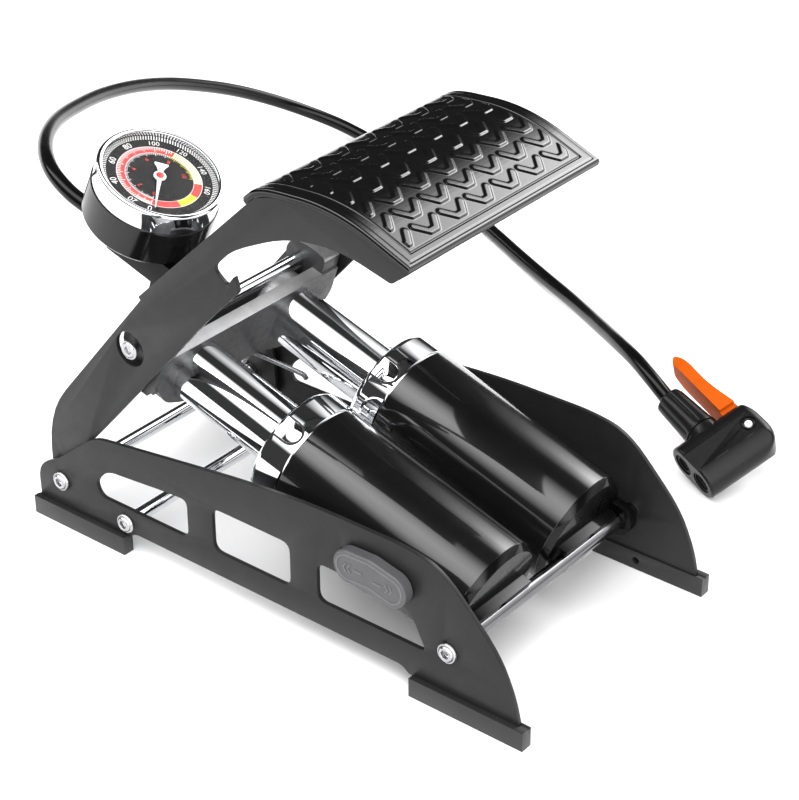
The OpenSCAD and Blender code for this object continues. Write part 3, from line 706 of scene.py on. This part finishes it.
def tread_height(x, s, length):
    """The relief of the tread, in millimetres above its base: nested chevrons inside a border groove."""
    height = np.zeros_like(x)
    pitch_x, pitch_s = 17.8, 10.2
    field_x, field_s = 56.2, 8.3  # the chevrons' field: half width, and inset from the ends
    groove_x, groove_s = 58.2, 6.4
    line_x, line_s = 62.6, 2.6
    inside = (np.abs(x) < field_x) & (s > field_s) & (s < length - field_s)
    for row in range(8):
        s0 = 9.6 + row * pitch_s
        for column in range(-4, 5):
            x0 = -3.1 + column * pitch_x
            d = segment_distance(x, s, x0 - 6.4, s0 + 6.2, x0 - 2.0, s0 + 0.9)
            d = np.minimum(d, segment_distance(x, s, x0 - 2.0, s0 + 0.9, x0 + 2.0, s0 + 0.9))
            d = np.minimum(d, segment_distance(x, s, x0 + 2.0, s0 + 0.9, x0 + 6.4, s0 + 6.2))
            height = np.maximum(height, smoothstep(0.55, -0.45, d - 1.6))
    edge = np.minimum(np.minimum(field_x - np.abs(x), s - field_s), length - field_s - s)
    height = 0.5 * height * smoothstep(0, 0.6, edge) * inside
    border = np.maximum(np.abs(x) - groove_x, np.maximum(groove_s - s, s - (length - groove_s)))
    height -= 0.45 * smoothstep(0.5, 0.12, np.abs(border))
    outer = np.maximum(np.abs(x) - line_x, np.maximum(line_s - s, s - (length - line_s)))
    height -= 0.16 * smoothstep(0.45, 0.1, np.abs(outer))
    return height


def tread():
    """The rubber pad: a fine grid over the pedal's line with its relief, a skirt round it and a coarse underside."""
    line, length = even(rounded(PEDAL_LINE, 18), 0.42)
    half, top_height, under_height, edge_r = 65.8, 3.2, 1.5, 1.3
    columns = 314
    n = len(line)
    normals = []
    for i in range(n):
        d = (line[min(i + 1, n - 1)] - line[max(i - 1, 0)]).normalized()
        normals.append(Vector((-d.y, d.x)))
    x = np.linspace(-half, half, columns)
    grid_x, grid_s = np.meshgrid(x, np.linspace(0, length, n))
    near = np.minimum(np.minimum(half - np.abs(grid_x), grid_s), length - grid_s)
    drop = edge_r - np.sqrt(np.maximum(0, edge_r ** 2 - np.maximum(0, edge_r - near) ** 2))
    top = top_height + tread_height(grid_x, grid_s, length) - drop
    verts = []
    for i in range(n):
        for j in range(columns):
            p = line[i] + normals[i] * float(top[i, j])
            verts.append((float(x[j]), p.x, p.y))
    faces = [(i * columns + j, i * columns + j + 1, (i + 1) * columns + j + 1, (i + 1) * columns + j)
             for i in range(n - 1) for j in range(columns - 1)]
    edge = ([(0, j) for j in range(columns)] + [(i, columns - 1) for i in range(1, n)]
            + [(n - 1, j) for j in range(columns - 2, -1, -1)] + [(i, 0) for i in range(n - 2, 0, -1)])
    low = {}
    for i, j in edge:
        p = line[i] + normals[i] * under_height
        low[(i, j)] = len(verts)
        verts.append((float(x[j]), p.x, p.y))
    for a, b in zip(edge, edge[1:] + edge[:1]):
        faces.append((a[0] * columns + a[1], low[a], low[b], b[0] * columns + b[1]))
    for i in range(1, n - 2):
        faces.append((low[(i, 0)], low[(i + 1, 0)], low[(i + 1, columns - 1)], low[(i, columns - 1)]))
    first = [low[(0, j)] for j in range(columns)]
    faces.append(tuple(first + [low[(1, columns - 1)], low[(1, 0)]]))
    last = [low[(n - 1, j)] for j in range(columns)]
    faces.append(tuple([low[(n - 2, 0)], low[(n - 2, columns - 1)]] + last[::-1]))
    new_piece("tread_rubber_pad", verts, faces, MAT["tread"], "pedal_frame", "tread_rubber", ["tread_pad"], LAYOUT, 75)


def pedal():
    for n in ("left_arm", "right_arm"):
        refined(n, MAT["plate"], 0.3)
    refined("pedal_plate", MAT["plate"], 0.25)
    tread()


# ---- Barrels ----

def barrels():
    for side, x in (("left", -BARREL_X), ("right", BARREL_X)):
        wall = [(27.1, 8), (28.3, 8), (28.6, 8.4), (28.6, 107.6), (28.4, 108), (27.1, 108)]
        lathe(side + "_barrel_shell", wall, along_barrel(x), MAT["gloss"], "barrels", "gloss_black_metal",
              [side + "_barrel"], 128, True)
        refined(side + "_end_cap", MAT["cap"], 0.5)
        collar(side, x)
        paint(side + "_guide_bush", "plastic")
    paint("inlet_valves", "seal")


def collar(side, x):
    """A chrome collar with a rolled rim, a seam against the barrel and two tongues that hold it, each in a dark strip
    of painted shade for the slit round it.
    """
    profile = [(26.9, 108), (28.1, 108), (28.35, 108.5), (28.8, 108.9), (28.8, 120.6, 0.5), (27.9, 122.4, 0.6),
               (26.8, 123.3, 0.4), (26.0, 123.4), (17.6, 123.4, 0.5), (17.0, 124, 0.3), (16.2, 124, 0.3), (16.2, 121),
               (27.0, 121)]
    place = along_barrel(x)
    ring = (*lathe_data(rounded(profile), 144, True), place)
    new_piece(side + "_collar_ring", *joined([ring]), MAT["chrome"], "barrels", "chrome", [side + "_collar"], None,
              32, 1.0)
    turns = (-36, 144)
    # painted shade: a dark strip a little larger than each tongue, standing in for the shaded slit round it
    seam = [(*tongue_patch(turn, 5.9, 12.0, 28.84, 28.95), place) for turn in turns]
    tongue = [(*tongue_patch(turn, 4.9, 11.0, 28.9, 29.35), place) for turn in turns]
    new_piece(side + "_collar_tongue_painted_shade", *joined(seam), MAT["dark"], "barrels", "chrome", (), None, 40, 1.0)
    new_piece(side + "_collar_tongue", *joined(tongue), MAT["chrome"], "barrels", "chrome", (), None, 40, 1.0)


def tongue_patch(turn, half, length, inner, outer):
    """A curved plate on the collar: square at the rim and round at its barrel end."""
    outline = [(-half, 0)]
    for k in range(17):
        a = math.pi + math.pi * k / 16
        outline.append((half * math.cos(a), -(length - half) + half * math.sin(a)))
    outline.append((half, 0))
    centre = math.radians(90 - turn)
    rim = 121.2
    bevel = 0.22
    top = []
    mid = Vector((0, -length / 2))
    for u, v in outline:
        d = Vector((u, v)) - mid
        top.append(mid + d * (1 - bevel / max(d.length, 0.1)))

    def on_ring(u, v, r):
        a = -centre - u / outer
        return (r * math.cos(a), r * math.sin(a), rim + v)

    n = len(outline)
    verts = [on_ring(u, v, inner) for u, v in outline]
    verts += [on_ring(u, v, outer - 0.12) for u, v in outline]
    verts += [on_ring(p.x, p.y, outer) for p in top]
    faces = []
    for ring in range(2):
        for k in range(n):
            j = (k + 1) % n
            faces.append((ring * n + k, ring * n + j, (ring + 1) * n + j, (ring + 1) * n + k))
    for k in range(n // 2 - 1):
        faces.append((2 * n + k, 2 * n + k + 1, 2 * n + n - 2 - k, 2 * n + n - 1 - k))
        faces.append((n - 1 - k, n - 2 - k, k + 1, k))
    return verts, faces


# ---- Pistons ----

def pistons():
    for side, x in (("left", -BARREL_X), ("right", BARREL_X)):
        wall = [(13.5, 79), (15, 79), (15, 196), (13.5, 196)]
        lathe(side + "_piston_tube_shell", wall, along_barrel(x), MAT["chrome"], "pistons", "chrome",
              [side + "_piston_tube"], 128, True)
        paint(side + "_piston", "piston")
        paint(side + "_piston_seal", "rubber")
    paint("outlet_valves", "seal")
    block = refined("header", [MAT["alloy"], MAT["alloy_painted_shade"]], 0.7, segments=3, angle=35, sharp=50)
    up = up_of(BARREL)
    for p in block.data.polygons:  # painted shade: faces turned up keep the lighter alloy, all other faces take its darker copy
        p.material_index = 0 if p.normal.dot(up) > 0.3 else 1
    half = 66.1
    rod("upper_rod", UPPER_ROD, 3, half)
    screws("rod_end_screw_heads", "rod_end_screws", [UPPER_ROD], half, 4.8, 1.3)
    refined("manifold", MAT["plastic"], 0.9, segments=3)
    paint("manifold_screws", "zinc")
    sleeve = [(0, 0), (7.6, 0), (7.9, 0.4), (7.9, 4.6, 0.4), (7.2, 5), (6.9, 5.2)]
    for k in range(5):
        z = 6.2 + 3.1 * k
        r = 6.8 - 0.36 * k
        sleeve += [(r, z - 0.6, 0.3), (r, z + 1.1, 0.3), (r - 1.0, z + 1.5, 0.3), (r - 1.1, z + 2.1, 0.3)]
    sleeve += [(4.9, 21.6, 0.3), (4.6, 22), (4.05, 22), (4.05, 16), (0, 16)]
    matrix = BARREL @ shift(0, 268, 9.5) @ Matrix.Rotation(-math.pi / 2, 4, "X")
    lathe("strain_relief_sleeve", sleeve, matrix, MAT["rubber"], "pistons", "soft_rubber", ["strain_relief"], 64,
          False, 40)


# ---- Gauge ----

def gauge():
    cup = [(0, 0), (28.8, 0), (30.2, 0.5), (31, 1.6), (31, 19.4, 0.3), (30.8, 19.9), (28.8, 19.9), (28.8, 2), (0, 2)]
    lathe("gauge_cup_shell", cup, GAUGE, MAT["cup"], "pistons", "black_plastic", ["gauge_cup"], 160, False, 35)
    bezel = [(28.5, 20), (30.5, 20), (30.5, 20.2), (30.35, 28.9), (30.5, 29.2), (30.5, 29.9, 0.3), (29.9, 30.75, 0.5),
             (29.0, 31, 0.4), (27.9, 30.8, 0.4), (27.7, 30.4), (27.7, 30.2), (28.5, 30.2)]
    lathe("gauge_bezel_ring", bezel, GAUGE, MAT["chrome"], "pistons", "chrome", ["gauge_bezel"], 160, True, 35)
    lens = [(0, 29.0), (28.4, 29.0), (28.4, 30.1), (0, 30.15)]
    lathe("gauge_lens_disc", lens, GAUGE, MAT["lens"], "pistons", "clear_lens", ["gauge_lens"], 128, False, 35)
    dial = [(1.2, 26.6), (28.4, 26.6), (28.4, 27.3), (28.3, 27.4), (1.2, 27.4)]
    lathe("gauge_dial_plate", dial, GAUGE, MAT["print_grey"], "pistons", "dial_face", ["gauge_dial"], 128, True, 35)
    dial_print()
    needle()
    paint("gauge_stem", "brass")
    paint("bourdon_tube", "brass")


def polar(r, angle, z):
    """A point on the dial: angle runs clockwise, from the front of the pump, seen from above."""
    return (-r * math.sin(angle), -r * math.cos(angle), z)


def arc_band(r0, r1, a0, a1, z, steps=None):
    """A flat band between two radii and two angles."""
    steps = steps or max(2, int(abs(a1 - a0) / math.radians(2.5)))
    verts = []
    for k in range(steps + 1):
        a = a0 + (a1 - a0) * k / steps
        verts += [polar(r0, a, z), polar(r1, a, z)]
    faces = [(2 * k, 2 * k + 1, 2 * k + 3, 2 * k + 2) for k in range(steps)]
    return verts, faces


def digits(text, size, r, angle, z):
    """A number on the dial, standing outwards from the centre."""
    curve = bpy.data.curves.new("digits", "FONT")
    curve.body = text
    curve.size = size
    curve.align_x = "CENTER"
    curve.align_y = "CENTER"
    curve.resolution_u = 3
    holder = bpy.data.objects.new("digits", curve)
    scene.collection.objects.link(holder)
    bpy.context.view_layer.update()
    mesh = bpy.data.meshes.new_from_object(holder.evaluated_get(bpy.context.evaluated_depsgraph_get()))
    px, py, _ = polar(1, angle, z)
    verts = [(px * (r + v.co.y) + py * v.co.x, py * (r + v.co.y) - px * v.co.x, z) for v in mesh.vertices]
    faces = [tuple(p.vertices) for p in mesh.polygons]
    bpy.data.objects.remove(holder)
    bpy.data.curves.remove(curve)
    bpy.data.meshes.remove(mesh)
    return verts, faces


def dial_print():
    """The printed scale: checker ring, numbers, coloured band and ticks, in three inks."""
    inks = {"white": [], "red": [], "yellow": []}
    z = 27.46
    over = z + 0.03  # ink over ink

    def at(value):
        """The angle of a value, on a scale that is finer below 20."""
        return math.radians(56 + 1.1 * value if value < 20 else 78 + 1.7407 * (value - 20))

    low, high = at(-2), at(-2) + 2 * math.pi
    ticked, far_red, block, block_end = [math.radians(a) for a in (245.8, 314.2, 342.8, 373.7)]
    for ring, (r0, r1) in enumerate(((27.4, 28.2), (26.45, 27.3), (25.5, 26.35))):
        count = 132 - 4 * ring
        for k in range(count):
            a = 2 * math.pi * (k + 0.5 * (ring % 2)) / count
            inks["white"].append(arc_band(r0, r1, a, a + math.pi / count * 0.95, z, 1))
    for value in range(0, 161, 20):
        inks["white"].append(digits(str(value), 4.6 if value < 100 else 4.0, 22.9, at(value), z))
    for ink, a, b in (("red", low, ticked), ("yellow", ticked, far_red), ("red", far_red, block),
                      ("yellow", block, block_end), ("red", block_end, high)):
        inks[ink].append(arc_band(16.6, 20.3, a, b, z))
    for r0, r1 in ((20.35, 20.6), (16.3, 16.5)):
        inks["white"].append(arc_band(r0, r1, low, high, over, 120))
    for value in range(0, 116, 2):
        inner = 17.4 if value % 10 == 0 else 18.5
        inks["white"].append(arc_band(inner, 20.4, at(value) - 0.010, at(value) + 0.010, over + 0.01, 1))
    for k in range(18):
        a = ticked + (far_red - ticked) * (k + 0.3) / 18
        inks["white"].append(arc_band(16.6, 20.3, a, a + 0.032, over + 0.01, 1))
    for value in range(0, 151, 2):
        inner = 14.4 if value % 10 == 0 else 15.2
        inks["white" if value < 116 else "yellow"].append(
            arc_band(inner, 16.3, at(value) - 0.009, at(value) + 0.009, z, 1))
    for i, value in enumerate((0, 29, 58, 87, 116, 145)):
        inks["red"].append(digits(str(2 * i), 3.2, 12.2, at(value), z))
    ink_of = [i for i, parts in enumerate(inks.values()) for _, faces in parts for _ in faces]
    verts, faces = joined([(*part, GAUGE) for parts in inks.values() for part in parts])
    obj = new_piece("gauge_dial_print", verts, faces, [MAT[key] for key in inks], "pistons", "dial_face", (), None,
                    40, 1.0)
    up = up_of(GAUGE)
    for p, ink in zip(obj.data.polygons, ink_of):
        p.material_index = ink
    face_up(obj.data, up)


def face_up(mesh, up):
    """Flat marks all turned to one side."""
    bm = bmesh.new()
    bm.from_mesh(mesh)
    bmesh.ops.reverse_faces(bm, faces=[f for f in bm.faces if f.normal.dot(up) < 0])
    bm.to_mesh(mesh)
    bm.free()


def needle():
    """A tapered pointer with a spade tail, a white hub and a red cap."""
    z = 27.8
    turned = GAUGE @ turned_about("Z", -50)
    half = [(-22, 0.22), (-12, 0.55), (-3.0, 1.05), (0, 1.3), (3.2, 1.15), (5.6, 1.8), (8.4, 3.4), (9.0, 3.3)]
    shape = [(w, y) for y, w in half] + [(-w, y) for y, w in reversed(half)]
    blade = [(x, y, level) for level in (z, z + 0.5) for x, y in shape]
    hub = lathe_data([(0, z - 0.1), (3, z - 0.1), (3, z + 0.65), (2.8, z + 0.8), (0, z + 0.8)], 64)
    pin = lathe_data([(0, z - 10), (1, z - 10), (1, z), (0, z)], 24)
    parts = [(blade, prism_faces(len(shape)), turned), (*hub, turned), (*pin, turned)]
    new_piece("gauge_pointer_blade", *joined(parts), MAT["white"], "gauge_pointer", "white_pointer", ["gauge_needle"],
              None, 40, 1.0)
    cap = [(0, z + 0.8), (1.9, z + 0.8), (1.9, z + 1.0, 0.1), (1.6, z + 1.12), (0, z + 1.15)]
    lathe("gauge_pointer_cap", cap, turned, MAT["red"], "gauge_pointer", "white_pointer", (), 48, False, 50)


# ---- Valve head ----

def boolean(obj, cutter, operation="DIFFERENCE"):
    """The cutter taken off the object's mesh, or joined to it, and removed."""
    mod = obj.modifiers.new("cut", "BOOLEAN")
    mod.operation = operation
    mod.solver = "EXACT"
    mod.object = cutter
    bpy.context.view_layer.update()
    mesh = bpy.data.meshes.new_from_object(obj.evaluated_get(bpy.context.evaluated_depsgraph_get()))
    obj.modifiers.clear()
    old = obj.data
    obj.data = mesh
    bpy.data.meshes.remove(old)
    bpy.data.objects.remove(cutter)


def loose(name, verts, faces, matrix):
    """A solid with its faces turned outward, for a boolean."""
    obj = linked(name, [matrix @ (Vector(v) * MM) for v in verts], faces)
    bm = bmesh.new()
    bm.from_mesh(obj.data)
    bmesh.ops.recalc_face_normals(bm, faces=bm.faces)
    bm.to_mesh(obj.data)
    bm.free()
    return obj


def head_body():
    """The valve head: a stadium-shaped mouth, long soft sides and a round end about the lever's pin."""
    wide, thick, mouth, tail = 16.0, 20.0, -25, 20
    middle = thick / 2
    outline = rounded_loop([(mouth, -wide, 1.4), (tail, -wide, 13), (tail, wide, 13), (mouth, wide, 1.4)], 14)
    dense = []
    for a, b in zip(outline, outline[1:] + outline[:1]):
        count = max(1, int((b - a).length / 1.5))
        dense += [a.lerp(b, k / count) for k in range(count)]
    n = len(dense)

    def inset(soft, gap):
        """How far a rounded edge of radius soft pulls in, at a distance from its face."""
        k = max(0.0, soft - gap)
        return soft - math.sqrt(max(0.0, soft * soft - k * k))

    rings = []
    steps = 44
    for q in range(steps + 1):
        z = middle * (1 - math.cos(math.pi * q / steps))
        ring = []
        for i in range(n):
            d = (dense[(i + 1) % n] - dense[i - 1]).normalized()
            round_r = middle - inset(1.4, dense[i].x - mouth)
            up = max(-round_r, min(round_r, z - middle))
            half = wide - middle + math.sqrt(max(0.0, round_r ** 2 - up ** 2))
            u = dense[i].x - max(0.0, d.y) * inset(6.0, min(z, thick - z))
            ring.append((u, max(-half, min(half, dense[i].y)), middle + up))
        rings.append(ring)
    return tube_mesh(rings)


def valve_head():
    obj = loose("valve_head_shell", *head_body(), HEAD)
    neck = [(0, -10), (9, -10), (9, 0.0, 0.3), (8.6, 0.6), (0, 0.6)]
    neck_at = HEAD @ shift(-6, 16, 10) @ Matrix.Rotation(-math.pi / 2, 4, "X")
    boolean(obj, loose("neck", *lathe_data(rounded(neck), 64), neck_at), "UNION")
    rings = []
    for y, r in ((-7, 4.0), (7, 3.1)):
        bore = [(0, -1), (5.9, -1), (5.9, 0.9), (5.3, 1.3), (r + 0.35, 1.5), (r, 2.1), (r, 14), (0, 14)]
        at = HEAD @ shift(-25, y, 10) @ Matrix.Rotation(math.pi / 2, 4, "Y")
        boolean(obj, loose("bore", *lathe_data(bore, 64), at))
        ring = [(r + 0.7, 1.42), (r + 0.75, 0.5, 0.15), (r + 1.0, 0.3, 0.15), (r + 1.25, 0.5, 0.15), (r + 1.3, 1.38)]
        rings.append((*lathe_data(rounded(ring), 64, True), at))
    slot_verts = [(x, y, z) for x in (3.8, 40) for y in (-11, 40) for z in (4.6, 15.4)]
    slot_faces = [(0, 1, 3, 2), (4, 6, 7, 5), (0, 4, 5, 1), (2, 3, 7, 6), (0, 2, 6, 4), (1, 5, 7, 3)]
    boolean(obj, loose("slot", slot_verts, slot_faces, HEAD))
    pin_at = HEAD @ shift(10.7, 0, 0)
    for low, high in ((18.9, 21), (-1, 1.1)):
        boolean(obj, loose("recess", *lathe_data([(0, low), (4.2, low), (4.2, high), (0, high)], 48), pin_at))
    boolean(obj, loose("pin_hole", *lathe_data([(0, -1), (2.02, -1), (2.02, 21), (0, 21)], 48), pin_at))
    finish_mesh(obj, MAT["head"], 40)
    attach(obj, "base")
    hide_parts("valve_head")
    washer = [(2.45, 18.9), (3.3, 18.9), (3.3, 19.5, 0.2), (2.9, 19.8, 0.1), (2.45, 19.5)]
    rings.append((*lathe_data(rounded(washer), 48, True), pin_at))
    new_piece("valve_head_rings", *joined(rings), MAT["head"], "base", "head_plastic", (), None, 40, 1.0)
    pin = [(0, 0.4), (1.8, 0.4), (2, 0.7), (2, 19.5), (1.7, 19.9), (0, 20)]
    lathe("lever_pin_shaft", pin, pin_at, MAT["white"], "base", "white_pointer", ["lever_pin"], 48, False, 40)
    collar_at = HEAD @ shift(-6, 16.6, 10) @ Matrix.Rotation(-math.pi / 2, 4, "X")
    new_piece("hose_grip_collar", *fluted_collar(), MAT["head"], "base", "head_plastic", ["head_collar"], collar_at, 40)
    paint("valve_seals", "rubber")
    paint("valve_plunger", "brass")
    refined("thumb_lever", MAT["orange"], 0.45, angle=25, segments=3, sharp=38, name="thumb_lever_blade")


def fluted_collar():
    """A tapered sleeve with broad rounded flutes between six ribs."""
    sides = 144
    profile = [(4.02, 2.0, 0), (4.02, 26.0, 0), (4.6, 26.6, 0), (6.6, 26.4, 0.2), (7.5, 25.8, 0.7), (7.8, 25, 1),
               (8.2, 18, 1), (8.7, 9, 1), (9.1, 3, 0.8), (9.3, 1, 0.3), (9.3, 0, 0), (4.02, 0, 0)]
    verts = []
    for r, z, flute in profile:
        for k in range(sides):
            a = 2 * math.pi * k / sides
            out = r - flute * 1.15 * (1 - abs(math.cos(3 * a)) ** 0.55)
            verts.append((out * math.cos(a), out * math.sin(a), z))
    faces = []
    count = len(profile)
    for i in range(count):
        j = (i + 1) % count
        for k in range(sides):
            m = (k + 1) % sides
            faces.append((i * sides + k, i * sides + m, j * sides + m, j * sides + k))
    return verts, faces


camera()
studio_floor()
world_light()
base()
lock()
pedal()
barrels()
pistons()
gauge()
valve_head()
hose()
paint("pivot_washers", "zinc")
